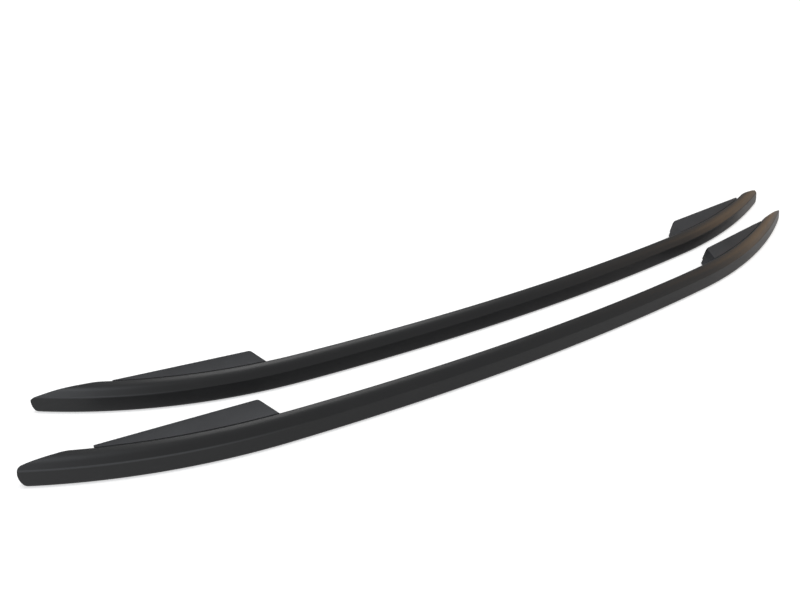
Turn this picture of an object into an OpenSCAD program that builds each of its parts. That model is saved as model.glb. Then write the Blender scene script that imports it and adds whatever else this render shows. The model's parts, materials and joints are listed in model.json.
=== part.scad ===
// Pair of roof side rails for a car, lying side by side on their inner flanks with the outer flanks up.
// Each rail is drawn in a flat drawing frame first: X runs along the rail towards its front tip, Y points
// up as mounted, away from the roof, and Z points outboard. lay() then puts it down beside its partner.
// Sizes that differ between the two ends are pairs: [rear, front].

/* [Rail bar] */
// Length of a rail from tip to tip
rail_len = 1700; // [1600:10:1800]
// Radius of the long middle bend, at the top of the bar
middle_r = 5500; // [5000:50:6500]
// How far the crown of the arch sits ahead of mid-length
crown_ahead = 80; // [60:5:100]
// Radius of the tight bend at the rear end
rear_r = 1200; // [1150:10:1250]
// Radius of the tight bend at the front end
front_r = 1030; // [1000:10:1100]
// Turn from the crown to the start of the rear bend, in degrees
rear_turn = 5.87; // [5.4:0.1:6.2]
// Turn from the crown to the start of the front bend, in degrees
front_turn = 3.74; // [3.4:0.1:4.1]
// Height of the bar as mounted
bar_h = 32.3; // [30:0.1:36]
// Width of the bar
bar_w = 44; // [42:0.5:48]
// Wall of the hollow bar
bar_wall = 2.5; // [2:0.1:3]
// Drop of the crease below the top of the bar
crease_drop = 10.3; // [8:0.1:12]
// Distance of the crease from the outer flank
crease_in = 16.4; // [14:0.1:20]
// Drop of the outer shoulder below the top of the bar
shoulder_drop = 20.3; // [18:0.1:22]
// Distance of the outer shoulder from the outer flank
shoulder_in = 4.5; // [3:0.1:6]
// Rounding along the top of the bar, at the inner flank
top_round = 5; // [3.5:0.5:6]
// Rounding along the underside, at the inner flank
inner_round = 4; // [3.5:0.5:5]
// Rounding along the underside, at the outer flank
outer_round = 3; // [2:0.5:4]
// Rounding of the shoulder
shoulder_round = 22; // [16:1:26]
// Rounding of the crease
crease_round = 1.5; // [1:0.1:3]
// Least rounding in the corners of the hollow
hollow_round = 1; // [0.5:0.1:1.5]

/* [Noses] */
// Level of the rear nose cut at the tip, below the top of the bar there
rear_cut_drop = 14.6; // [13:0.1:17]
// Distance from the rear tip to the place where the nose cut leaves the bar
rear_cut_end = 77.3; // [72:0.1:82]
// Level of the front nose cut at the tip, below the top of the bar there
front_cut_drop = 9.4; // [9:0.1:12]
// Distance from the front tip to the place where the nose cut leaves the bar
front_cut_end = 115.9; // [108:0.1:118]
// Length of solid metal at each tip, before the hollow starts
nose_solid = 16; // [14:1:20]
// Rounding of a tip in plan
nose_round = 5; // [3:0.5:6]
// Rounding of a tip at its nose cut
cut_round = 1.5; // [1:0.1:2]
// Rounding of a tip at its inner flank, seen from above the bar
nose_inner_round = 9; // [6:0.5:11]
// Rounding of a tip at its outer flank, seen from above the bar
nose_outer_round = 11; // [8:0.5:12]
// How far a nose widens past its tip, over the run of its rounding
rear_flank_rise = 19; // [17:0.5:22]
// The same for the front nose
front_flank_rise = 27; // [25:0.5:30]
// How far a nose widens past its tip at the inner flank
flank_fall = 3; // [1:0.5:5]
// Length over which the side view of a nose opens out
flank_run = 60; // [50:1:70]
// Thickness of the plug in the cut end of the bar
plug_t = 5; // [4:0.5:7]
// How far the rear plug stops short of the end of the nose cut
rear_plug_short = 11.3; // [10.5:0.1:14]
// How far the front plug stops short of the end of the nose cut
front_plug_short = 21.9; // [20:0.1:25]
// Play between the plug and the hollow
plug_play = 0.2; // [0.1:0.05:0.4]

/* [Feet] */
// Height of the rear foot at its toe
rear_toe_h = 4.7; // [3:0.1:7]
// Height of the rear foot at its heel
rear_heel_h = 39.3; // [36:0.1:44]
// Height of the front foot at its toe
front_toe_h = 1.1; // [0.9:0.1:4]
// Height of the front foot at its heel
front_heel_h = 33.1; // [31:0.1:38]
// Distance from the tip to the toe of the rear foot
rear_toe = 104; // [100:1:112]
// Distance from the tip to the toe of the front foot
front_toe = 124; // [120:1:132]
// Distance from the tip to the heel of a foot, along the base
heel_at = 342; // [338:1:360]
// Lean of the heel towards the middle of the rail, in degrees
heel_lean = 26; // [10:1:32]
// Rounding of the heel corner
heel_round = 8; // [4:0.5:10]
// Step from the outer edge of the bar in to the side of a foot
foot_step = 2; // [1:0.1:3]
// Outer wall of a foot moulding
foot_wall = 3; // [2.5:0.1:4]
// Wall between a foot's pockets and the bar
foot_roof = 4; // [3:0.1:5]
// Thickness of the ribs in a foot
rib_t = 2.4; // [2:0.1:3]
// Distance from one cross rib to the next
rib_pitch = 29; // [24:1:36]
// Play between a foot and the bar that sits on it
seat_play = 0.15; // [0.1:0.05:0.3]

/* [Gaskets] */
// Thickness of the gasket under a foot
gasket_t = 3; // [2:0.5:4]
// Distance of the gasket's edge in from the side of the foot
gasket_inset = 4; // [3.5:0.5:6]
// Rounding of the gasket's corners
gasket_round = 6; // [4:0.5:8]

/* [Fasteners] */
// Distance from the tip to the first roof bolt
bolt_1_at = 232; // [226:1:236]
// Distance from the tip to the second roof bolt
bolt_2_at = 290; // [284:1:296]
// Radius of the thread in an insert
thread_r = 2.5; // [2.5:0.25:3]
// Outer radius of an insert
insert_r = 4.4; // [4:0.1:5]
// Length of an insert
insert_len = 12; // [10:0.5:14]
// Distance from the base of a foot to its inserts
insert_set = 1; // [0.5:0.1:1.5]
// Wall of plastic round an insert
boss_wall = 3.6; // [3:0.1:4]
// Thickness of plastic between a clamp washer and the bar
seat_t = 5; // [4:0.5:6]
// Length of a clamp screw's thread past its nut plate
tail = 2; // [1:0.5:4]
// Distance from the tip to the first clamp screw
screw_1_at = 198; // [190:1:204]
// Distance from the tip to the second clamp screw
screw_2_at = 318; // [314:1:322]
// Radius of a clamp screw's shank
screw_r = 3; // [2.5:0.25:3.25]
// Radius of a clamp screw's head
head_r = 5.2; // [5.2:0.1:5.6]
// Height of a clamp screw's head
head_h = 3.6; // [3:0.1:4]
// Width across the flats of the screw's socket
socket_w = 4; // [3:0.5:4]
// Depth of the screw's socket
socket_h = 2; // [1.5:0.1:2.2]
// Radius of a clamp washer
washer_r = 6.2; // [6:0.1:6.4]
// Thickness of a clamp washer
washer_t = 1.2; // [1:0.1:1.6]
// Side of a square nut plate
nut_w = 22; // [18:1:24]
// Thickness of a nut plate
nut_t = 5; // [4:0.5:6]
// Play round a screw in a drilled hole
hole_play = 0.3; // [0.2:0.05:0.5]
// Play round a screw in its nut and washer
thread_play = 0.05; // [0.04:0.01:0.1]

/* [Layout] */
// How far the crown of the right rail comes forward, past the tips of the left one
pair_overlap = 14.75; // [0:0.25:18]
// How far the right rail is slid along the left one
pair_slide = 23; // [0:1:60]
// Turn of the right rail against the left one, in degrees
pair_turn = -2.01; // [-2.5:0.1:0]

/* [Hidden] */
REAR = 0;
FRONT = 1;
LEFT = 0;
RIGHT = 1;
ROUND = 48;       // facets of a small circle
FILLET_STEP = 12; // degrees of a rounded corner to a facet
BEND_STEP = 1;    // degrees of a tight bend to a facet
MIDDLE_STEP = 0.4; // degrees of the middle bend to a facet
PAST = 4;         // reach of a cutting tool past what it cuts
FAR = 70;         // reach of a plan outline past the height of a foot

end_r = [rear_r, front_r];
turn = [rear_turn, front_turn];
cut_drop = [rear_cut_drop, front_cut_drop];
cut_end = [rear_cut_end, front_cut_end];
flank_rise = [rear_flank_rise, front_flank_rise];
plug_short = [rear_plug_short, front_plug_short];
toe_at = [rear_toe, front_toe];
toe_h = [rear_toe_h, front_toe_h];
heel_h = [rear_heel_h, front_heel_h];
bolt_at = [bolt_1_at, bolt_2_at];
screw_at = [screw_1_at, screw_2_at];

// The arch: the middle bend and the two end bends meet in one tangent, so each end bend's centre lies on
// the line from the middle centre to the point where the bend starts.
half = [rail_len / 2 + crown_ahead, rail_len / 2 - crown_ahead];
function reach(e) = (middle_r - end_r[e]) * sin(turn[e]);
function tip_turn(e) = asin((half[e] - reach(e)) / end_r[e]);
function drop(e) = middle_r - (middle_r - end_r[e]) * cos(turn[e]) - end_r[e] * cos(tip_turn(e));
crown_y = drop(REAR);
tip_y = [0, crown_y - drop(FRONT)];
tip_x = [-rail_len / 2, rail_len / 2];
inward = [1, -1];
middle_centre = [crown_ahead, crown_y - middle_r];
// Centre of an end bend, seen from that end's tip with X towards the middle of the rail
function bend_centre(e) = [end_r[e] * sin(tip_turn(e)), -end_r[e] * cos(tip_turn(e))];
// Level of the bar's underside at a distance from the tip, in the same view
under_r = [rear_r - bar_h, front_r - bar_h];
function under_y(e, d) = bend_centre(e)[1] + sqrt(under_r[e] ^ 2 - (d - bend_centre(e)[0]) ^ 2);
// Level of the nose cut and of the foot's base, likewise
function cut_y(e, d) = d / cut_end[e] * (under_y(e, cut_end[e]) + cut_drop[e]) - cut_drop[e];
function toe_y(e) = under_y(e, toe_at[e]) - toe_h[e];
function heel_y(e) = under_y(e, heel_at) - heel_h[e];
function base_slope(e) = atan((heel_y(e) - toe_y(e)) / (heel_at - toe_at[e]));
function base_y(e, d) = toe_y(e) + (d - toe_at[e]) * tan(base_slope(e));

// Section of the bar: [depth below the top, distance from the inner flank], with a rounding for each corner
bar_corners = [
    [0, 0], [bar_h, 0], [bar_h, bar_w],
    [shoulder_drop, bar_w - shoulder_in], [crease_drop, bar_w - crease_in],
];
bar_rounds = [top_round, inner_round, outer_round, shoulder_round, crease_round];
hollow_rounds = [for (r = bar_rounds) max(r - bar_wall, hollow_round)];
foot_w = bar_w - 2 * foot_step;
foot_mid = bar_w / 2;
boss_r = insert_r + boss_wall;
bore_r = screw_r + thread_play;
counterbore_r = washer_r + hole_play;
grip = seat_t + seat_play + bar_wall + nut_t;

// Corner rounding: for a corner p between a and b, the start and centre of a fillet of radius r
function unit(v) = v / norm(v);
function half_angle(p, a, b) = acos(unit(a - p) * unit(b - p)) / 2;
function touch(p, a, b, r) = p + unit(a - p) * r / tan(half_angle(p, a, b));
function fillet_centre(p, a, b, r) = p + unit(unit(a - p) + unit(b - p)) * r / sin(half_angle(p, a, b));
function bend(p, a, b) = sign(cross(p - a, b - p)) * (180 - 2 * half_angle(p, a, b));
function turned(v, t) = [v[0] * cos(t) - v[1] * sin(t), v[0] * sin(t) + v[1] * cos(t)];
function fillet(p, a, b, r) =
    let (o = fillet_centre(p, a, b, r), v = touch(p, a, b, r) - o)
    let (t = bend(p, a, b), n = ceil(abs(t) / FILLET_STEP))
    [for (k = [0 : n]) o + turned(v, t * k / n)];
function wrap(p, i) = p[(i + len(p)) % len(p)];
function left_of(v) = [-v[1], v[0]];

// The same corners moved in by t, for corners that run anticlockwise
function inset(p, t) = [
    for (i = [0 : len(p) - 1])
        let (m = left_of(unit(p[i] - wrap(p, i - 1))), n = left_of(unit(wrap(p, i + 1) - p[i])))
        p[i] + t * (m + n) / (1 + m * n)
];

// A polygon with a rounding r[i] at corner p[i], where 0 leaves the corner sharp
module rounded(p, r) {
    polygon([
        for (i = [0 : len(p) - 1])
            each r[i] > 0 ? fillet(p[i], wrap(p, i - 1), wrap(p, i + 1), r[i]) : [p[i]]
    ]);
}

// Sweeps the section in children() round the whole arch. The section lies in [depth, out].
module sweep_arch() {
    place(middle_centre)
        rotate_extrude(start = 90 - turn[FRONT], angle = turn[FRONT] + turn[REAR], $fn = 360 / MIDDLE_STEP)
            translate([middle_r, 0]) mirror([1, 0]) children();
    for (e = [REAR, FRONT])
        at_end(e) place(bend_centre(e))
            rotate_extrude(start = 90 + turn[e], angle = tip_turn(e) - turn[e] + BEND_STEP,
                           $fn = 360 / BEND_STEP)
                translate([end_r[e], 0]) mirror([1, 0]) children();
}

// Moves children() in three steps, so that a long move keeps its small digits
module place(v) {
    whole = [for (x = v) floor(x)];
    part = [for (i = [0 : len(v) - 1]) floor((v[i] - whole[i]) * 1000) / 1000];
    translate(whole) translate(part) translate(v - whole - part) children();
}

// Puts children() at an end of the rail: the tip becomes the origin and X runs towards the middle
module at_end(e) {
    place([tip_x[e], tip_y[e], 0]) scale_x(inward[e]) children();
}

module scale_x(s) {
    mirror([s < 0 ? 1 : 0, 0, 0]) children();
}

module plan(h) {
    translate([0, 0, -PAST]) linear_extrude(h + 2 * PAST) children();
}

// Everything inside the tips and above the nose cuts, in plan
module plan_outline() {
    slope = [tan(tip_turn(REAR)), tan(tip_turn(FRONT))];
    peak = (tip_y[FRONT] + rail_len / 2 * (slope[FRONT] - slope[REAR])) / (slope[REAR] + slope[FRONT]);
    function cut(e, d) = [tip_x[e] + inward[e] * d, tip_y[e] + cut_y(e, d)];
    rounded(
        [cut(REAR, 0), cut(REAR, cut_end[REAR] + PAST), cut(FRONT, cut_end[FRONT] + PAST), cut(FRONT, 0),
         [tip_x[FRONT], tip_y[FRONT]], [peak, (peak + rail_len / 2) * slope[REAR]], [tip_x[REAR], 0]],
        [cut_round, 0, 0, cut_round, nose_round, 0, nose_round]);
}

// The rounding of the tips seen from above the bar, in [along, out]
module flank_outline() {
    top = [for (e = [REAR, FRONT]) bar_w - crease_in + cut_drop[e] - crease_drop];
    rounded(
        [[tip_x[REAR], 0], [tip_x[REAR] + flank_run, -flank_fall], [tip_x[FRONT] - flank_run, -flank_fall],
         [tip_x[FRONT], 0], [tip_x[FRONT], top[FRONT]],
         [tip_x[FRONT] - flank_run, top[FRONT] + flank_rise[FRONT]],
         [tip_x[REAR] + flank_run, top[REAR] + flank_rise[REAR]], [tip_x[REAR], top[REAR]]],
        [nose_inner_round, 0, 0, nose_inner_round, nose_outer_round, 0, 0, nose_outer_round]);
}

module bar() {
    color("#2b2c2f")
        difference() {
            intersection() {
                sweep_arch() rounded(bar_corners, bar_rounds);
                plan(bar_w) plan_outline();
                rotate([90, 0, 0]) translate([0, 0, -2 * crown_y]) linear_extrude(3 * crown_y)
                    flank_outline();
            }
            intersection() {
                sweep_arch() rounded(inset(bar_corners, bar_wall), hollow_rounds);
                translate([-rail_len / 2 + nose_solid, -rail_len, -PAST])
                    cube([rail_len - 2 * nose_solid, 2 * rail_len, bar_w + 2 * PAST]);
            }
            for (e = [REAR, FRONT], d = screw_at)
                at_end(e) on_screw(e, d) screw_hole(2 * (PAST + bar_wall));
        }
}

// A clamp screw's own frame: the origin is on the underside of the bar and Z runs into the bar
module on_screw(e, d) {
    lean = asin((d - bend_centre(e)[0]) / under_r[e]);
    translate([d, under_y(e, d), foot_mid]) rotate([-90, 0, -lean]) children();
}

module screw_hole(h) {
    cylinder(r = screw_r + hole_play, h = h, center = true, $fn = ROUND);
}

// A roof bolt's own frame: the origin is on the base of the foot and Z runs up into the foot
module on_bolt(e, d) {
    translate([d, base_y(e, d), foot_mid]) rotate([-90, 0, 0]) children();
}

// Plan of a foot, from its toe to its heel. For the pockets, shrink draws the heel in, below lowers the
// base and thin lowers the top.
module foot_plan(e, toe, shrink, below, thin) {
    lean = FAR * tan(heel_lean);
    intersection() {
        rounded(
            [[toe, base_y(e, toe) - below], [heel_at - shrink, base_y(e, heel_at) - below],
             [heel_at - shrink + lean, base_y(e, heel_at) - below + FAR], [toe, base_y(e, heel_at) + FAR]],
            [0, below > 0 ? 0 : heel_round, 0, 0]);
        place(bend_centre(e)) circle(under_r[e] - seat_play - thin, $fn = 360 / BEND_STEP);
    }
}

module foot_bosses(e) {
    for (d = bolt_at) on_bolt(e, d) cylinder(r = boss_r, h = FAR, $fn = ROUND);
    for (d = screw_at) on_screw(e, d) translate([0, 0, -FAR])
        cylinder(r = counterbore_r + rib_t, h = FAR, $fn = ROUND);
}

module foot_ribs(e) {
    for (d = [toe_at[e] + rib_pitch : rib_pitch : heel_at])
        translate([d - rib_t / 2, base_y(e, d) - FAR / 2, 0]) cube([rib_t, 2 * FAR, bar_w]);
    translate([0, -FAR, foot_mid - rib_t / 2]) cube([heel_at + FAR, 3 * FAR, rib_t]);
}

// The moulded foot: a wedge with a closed top under the bar and ribbed pockets that open to the roof
module foot(e) {
    color("#303236")
        difference() {
            translate([0, 0, foot_step]) linear_extrude(foot_w) foot_plan(e, toe_at[e], 0, 0, 0);
            difference() {
                translate([0, 0, foot_step + foot_wall]) linear_extrude(foot_w - 2 * foot_wall)
                    foot_plan(e, toe_at[e] + rib_pitch / 2, foot_wall, PAST, foot_roof);
                foot_ribs(e);
                foot_bosses(e);
            }
            for (d = bolt_at) on_bolt(e, d) translate([0, 0, -PAST])
                cylinder(r = insert_r, h = insert_len + insert_set + PAST, $fn = ROUND);
            for (d = screw_at) on_screw(e, d) {
                screw_hole(2 * FAR);
                translate([0, 0, -seat_play - seat_t - FAR])
                    cylinder(r = counterbore_r, h = FAR, $fn = ROUND);
            }
        }
}

// The foam gasket between a foot and the roof, with a hole for each roof bolt
module gasket(e) {
    start = toe_at[e] + gasket_inset + gasket_round;
    stop = heel_at - gasket_inset;
    low = foot_step + gasket_inset;
    high = bar_w - foot_step - gasket_inset;
    color("#17181a")
        difference() {
            translate([0, base_y(e, 0), 0]) rotate(base_slope(e)) rotate([90, 0, 0]) linear_extrude(gasket_t)
                rounded([[start, low], [stop, low], [stop, high], [start, high]],
                    [for (i = [0 : 3]) gasket_round]);
            for (d = bolt_at) on_bolt(e, d)
                cylinder(r = insert_r + hole_play, h = 4 * PAST, center = true, $fn = ROUND);
        }
}

// The moulded plug that closes the slanting open end of the bar, flush with the nose cut
module plug(e) {
    start = nose_solid + plug_play;
    stop = cut_end[e] - plug_short[e];
    color("#1d1e20")
        intersection() {
            at_end(e) plan(bar_w) polygon([
                [start, cut_y(e, start)], [stop, cut_y(e, stop)],
                [stop, cut_y(e, stop) + plug_t], [start, cut_y(e, start) + plug_t],
            ]);
            sweep_arch() rounded(inset(bar_corners, bar_wall + plug_play), hollow_rounds);
        }
}

module inserts(e) {
    color("#b08d3f")
        for (d = bolt_at) on_bolt(e, d) translate([0, 0, insert_set]) difference() {
            cylinder(r = insert_r, h = insert_len, $fn = ROUND);
            translate([0, 0, -PAST]) cylinder(r = thread_r, h = insert_len + 2 * PAST, $fn = ROUND);
        }
}

module clamp_washers(e) {
    color("#9a9da1")
        for (d = screw_at) on_screw(e, d) translate([0, 0, -seat_play - seat_t - washer_t]) difference() {
            cylinder(r = washer_r, h = washer_t, $fn = ROUND);
            translate([0, 0, -PAST]) cylinder(r = bore_r, h = washer_t + 2 * PAST, $fn = ROUND);
        }
}

module clamp_screws(e) {
    color("#8c8f93")
        for (d = screw_at) on_screw(e, d) translate([0, 0, -seat_play - seat_t - washer_t]) difference() {
            union() {
                translate([0, 0, -head_h]) cylinder(r = head_r, h = head_h, $fn = ROUND);
                cylinder(r = screw_r, h = washer_t + grip + tail, $fn = ROUND);
            }
            translate([0, 0, -head_h - PAST]) cylinder(r = socket_w / sqrt(3), h = socket_h + PAST, $fn = 6);
        }
}

module nut_plates(e) {
    color("#85888c")
        for (d = screw_at) on_screw(e, d) translate([0, 0, bar_wall]) difference() {
            translate([-nut_w / 2, -nut_w / 2, 0]) cube([nut_w, nut_w, nut_t]);
            translate([0, 0, -PAST]) cylinder(r = bore_r, h = nut_t + 2 * PAST, $fn = ROUND);
        }
}

// The left rail lies with its front tip towards +X. The right rail is its mirror image and lies behind it.
// The pair's own box is centred on the origin.
pair_gap = crown_y - pair_overlap;
tip_reach = rail_len / 2;
right_tip_x = tip_reach * cos(pair_turn) + pair_slide;
right_tip_y = tip_reach * sin(-pair_turn) + (cut_drop[FRONT] - tip_y[FRONT]) * cos(pair_turn) + pair_gap;
centre = [(right_tip_x - tip_reach) / 2, (right_tip_y - crown_y) / 2];

module lay(side) {
    if (side == LEFT)
        translate(-centre) mirror([0, 1, 0]) children();
    else
        translate([pair_slide, pair_gap] - centre) rotate(pair_turn) rotate(180) children();
}

lay(LEFT) bar();  // left_bar
lay(LEFT) at_end(REAR) foot(REAR);  // left_rear_foot
lay(LEFT) at_end(REAR) gasket(REAR);  // left_rear_gasket
lay(LEFT) plug(REAR);  // left_rear_plug
lay(LEFT) at_end(REAR) inserts(REAR);  // left_rear_inserts
lay(LEFT) at_end(REAR) clamp_screws(REAR);  // left_rear_clamp_screws
lay(LEFT) at_end(REAR) clamp_washers(REAR);  // left_rear_clamp_washers
lay(LEFT) at_end(REAR) nut_plates(REAR);  // left_rear_nut_plates
lay(LEFT) at_end(FRONT) foot(FRONT);  // left_front_foot
lay(LEFT) at_end(FRONT) gasket(FRONT);  // left_front_gasket
lay(LEFT) plug(FRONT);  // left_front_plug
lay(LEFT) at_end(FRONT) inserts(FRONT);  // left_front_inserts
lay(LEFT) at_end(FRONT) clamp_screws(FRONT);  // left_front_clamp_screws
lay(LEFT) at_end(FRONT) clamp_washers(FRONT);  // left_front_clamp_washers
lay(LEFT) at_end(FRONT) nut_plates(FRONT);  // left_front_nut_plates
lay(RIGHT) bar();  // right_bar
lay(RIGHT) at_end(REAR) foot(REAR);  // right_rear_foot
lay(RIGHT) at_end(REAR) gasket(REAR);  // right_rear_gasket
lay(RIGHT) plug(REAR);  // right_rear_plug
lay(RIGHT) at_end(REAR) inserts(REAR);  // right_rear_inserts
lay(RIGHT) at_end(REAR) clamp_screws(REAR);  // right_rear_clamp_screws
lay(RIGHT) at_end(REAR) clamp_washers(REAR);  // right_rear_clamp_washers
lay(RIGHT) at_end(REAR) nut_plates(REAR);  // right_rear_nut_plates
lay(RIGHT) at_end(FRONT) foot(FRONT);  // right_front_foot
lay(RIGHT) at_end(FRONT) gasket(FRONT);  // right_front_gasket
lay(RIGHT) plug(FRONT);  // right_front_plug
lay(RIGHT) at_end(FRONT) inserts(FRONT);  // right_front_inserts
lay(RIGHT) at_end(FRONT) clamp_screws(FRONT);  // right_front_clamp_screws
lay(RIGHT) at_end(FRONT) clamp_washers(FRONT);  // right_front_clamp_washers
lay(RIGHT) at_end(FRONT) nut_plates(FRONT);  // right_front_nut_plates
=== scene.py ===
"""Looks of a pair of roof side rails that lie side by side on a pale floor.

The bars are swept round their arch by geometry nodes, cut to their slanted noses and shaded smooth
between their sharp edges. The moulded feet are softened copies of the solids.
Every finish is procedural.
"""

import json
import logging
import math
from dataclasses import dataclass, field
from enum import Enum
from typing import Iterable, Sequence

import bmesh
import bpy
from mathutils import Matrix, Vector

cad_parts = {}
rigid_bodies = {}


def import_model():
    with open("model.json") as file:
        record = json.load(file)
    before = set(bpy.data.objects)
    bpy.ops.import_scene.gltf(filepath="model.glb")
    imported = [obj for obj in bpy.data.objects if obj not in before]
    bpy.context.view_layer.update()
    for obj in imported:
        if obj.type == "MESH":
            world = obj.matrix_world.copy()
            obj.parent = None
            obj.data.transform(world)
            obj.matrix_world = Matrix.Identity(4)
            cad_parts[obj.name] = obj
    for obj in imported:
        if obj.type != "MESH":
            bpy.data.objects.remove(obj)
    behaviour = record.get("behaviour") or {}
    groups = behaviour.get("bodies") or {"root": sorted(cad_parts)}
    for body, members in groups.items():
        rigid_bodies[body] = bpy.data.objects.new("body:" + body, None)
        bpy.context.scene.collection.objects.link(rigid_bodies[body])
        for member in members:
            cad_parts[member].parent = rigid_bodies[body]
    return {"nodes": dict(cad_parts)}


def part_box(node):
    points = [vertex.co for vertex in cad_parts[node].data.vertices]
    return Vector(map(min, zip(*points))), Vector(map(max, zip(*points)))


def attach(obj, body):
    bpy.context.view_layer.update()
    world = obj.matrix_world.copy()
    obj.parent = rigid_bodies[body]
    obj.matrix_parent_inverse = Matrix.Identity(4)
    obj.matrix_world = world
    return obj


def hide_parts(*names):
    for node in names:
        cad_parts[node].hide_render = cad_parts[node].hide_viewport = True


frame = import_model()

LOG = logging.getLogger("roof_rails")
BODY = "root"
MM = 0.001
Point2 = tuple[float, float]
Colour = tuple[float, float, float]


class End(Enum):
    """The two ends of a rail."""

    REAR = 0
    FRONT = 1

    @property
    def inward(self) -> int:
        """Sign of X from the tip towards the middle of the rail."""
        return 1 if self is End.REAR else -1


class Side(Enum):
    """The two rails of the pair."""

    LEFT = "left"
    RIGHT = "right"


# Plan curves


def fillet(
    corner: Point2, before: Point2, after: Point2, radius: float, step: float, hold: float
) -> list[Point2]:
    """Rounds one corner of an outline.

    Args:
        corner: The corner itself.
        before: The outline's point before it.
        after: The outline's point after it.
        radius: Radius of the rounding.
        step: Largest turn between two points, in radians.
        hold: Distance of an extra point on each straight, which keeps its shading flat. 0 adds none.

    Returns:
        The points that take the corner's place.
    """
    c, a, b = Vector(corner), Vector(before), Vector(after)
    ua, ub = (a - c).normalized(), (b - c).normalized()
    half = math.acos(max(-1.0, min(1.0, ua.dot(ub)))) / 2
    reach = radius / math.tan(half)
    centre = c + (ua + ub).normalized() * radius / math.sin(half)
    first = c + ua * reach - centre
    turn = math.copysign(math.pi - 2 * half, (c - a).cross(b - c))
    count = max(2, math.ceil(abs(turn) / step))
    points = [centre + Matrix.Rotation(turn * k / count, 2) @ first for k in range(count + 1)]
    if hold > 0:
        points = [points[0] + ua * hold, *points, points[-1] + ub * hold]
    return [(p.x, p.y) for p in points]


def rounded(
    corners: Sequence[Point2], radii: Sequence[float], step: float = 0.07, hold: float = 0.0
) -> list[Point2]:
    """Outline with rounded corners.

    Args:
        corners: Corners of the outline in order.
        radii: Rounding of each corner, 0 for a sharp one.
        step: Largest turn between two points, in radians.
        hold: See fillet().

    Returns:
        The points of the rounded outline.
    """
    out: list[Point2] = []
    for i, (corner, radius) in enumerate(zip(corners, radii)):
        before, after = corners[i - 1], corners[(i + 1) % len(corners)]
        out += fillet(corner, before, after, radius, step, hold) if radius > 0 else [tuple(corner)]
    return out


def inset(corners: Sequence[Point2], depth: float) -> list[Point2]:
    """Moves the corners of an anticlockwise outline inwards.

    Args:
        corners: Corners of the outline in order.
        depth: Distance that each side moves.

    Returns:
        The moved corners.
    """
    moved = []
    for i, corner in enumerate(corners):
        c = Vector(corner)
        u = (c - Vector(corners[i - 1])).normalized()
        v = (Vector(corners[(i + 1) % len(corners)]) - c).normalized()
        m, n = Vector((-u.y, u.x)), Vector((-v.y, v.x))
        p = c + depth * (m + n) / (1 + m.dot(n))
        moved.append((p.x, p.y))
    return moved


@dataclass(frozen=True)
class Arch:
    """The three tangent bends of a rail, in the drawing frame: X forward, Y up as mounted, Z outboard."""

    length: float = 1700 * MM
    middle_radius: float = 5500 * MM
    crown_ahead: float = 80 * MM
    end_radius: Point2 = (1200 * MM, 1030 * MM)
    turn_degrees: Point2 = (5.87, 3.74)

    def turn(self, end: End) -> float:
        """Turn from the crown to the start of an end bend, in radians."""
        return math.radians(self.turn_degrees[end.value])

    def spread(self, end: End) -> float:
        """Difference between the middle radius and an end's radius."""
        return self.middle_radius - self.end_radius[end.value]

    def tip_turn(self, end: End) -> float:
        """Turn from the crown to a tip, in radians."""
        half = self.length / 2 + end.inward * self.crown_ahead
        return math.asin((half - self.spread(end) * math.sin(self.turn(end))) / self.end_radius[end.value])

    def drop(self, end: End) -> float:
        """Height of the crown above a tip."""
        level = self.spread(end) * math.cos(self.turn(end))
        return self.middle_radius - level - self.end_radius[end.value] * math.cos(self.tip_turn(end))

    @property
    def crown(self) -> float:
        """Height of the crown."""
        return self.drop(End.REAR)

    def tip(self, end: End) -> Point2:
        """Top of the bar at a tip."""
        return (-end.inward * self.length / 2, self.crown - self.drop(end))

    @property
    def middle_centre(self) -> Vector:
        """Centre of the middle bend."""
        return Vector((self.crown_ahead, self.crown - self.middle_radius, 0))

    def bend_centre(self, end: End) -> Vector:
        """Centre of an end bend."""
        t = self.turn(end)
        return self.middle_centre + self.spread(end) * Vector((-end.inward * math.sin(t), math.cos(t), 0))

    def level(self, end: End, distance: float, depth: float) -> float:
        """Height over a tip of a curve inside an end bend.

        Args:
            end: The end of the rail.
            distance: Distance from its tip.
            depth: Depth of the curve below the top of the bar.

        Returns:
            The height of the curve over the top of the bar at the tip.
        """
        radius, turn = self.end_radius[end.value], self.tip_turn(end)
        across = distance - radius * math.sin(turn)
        return math.sqrt((radius - depth) ** 2 - across ** 2) - radius * math.cos(turn)

    def flow(self, point: Vector) -> Vector:
        """Place of a point in the bar's own grain.

        Args:
            point: A point in the drawing frame.

        Returns:
            Distance along the arch from the crown, height over the arch and distance outboard.
        """
        centre, radius, start = self.middle_centre, self.middle_radius, 0.0
        angle = math.atan2(point.x - centre.x, point.y - centre.y)
        for end in End:
            if -end.inward * angle > self.turn(end):
                start = -end.inward * self.middle_radius * self.turn(end)
                centre, radius = self.bend_centre(end), self.end_radius[end.value]
                angle = math.atan2(point.x - centre.x, point.y - centre.y) + end.inward * self.turn(end)
                break
        height = math.hypot(point.x - centre.x, point.y - centre.y) - radius
        return Vector((start + angle * radius, height, point.z))


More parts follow.
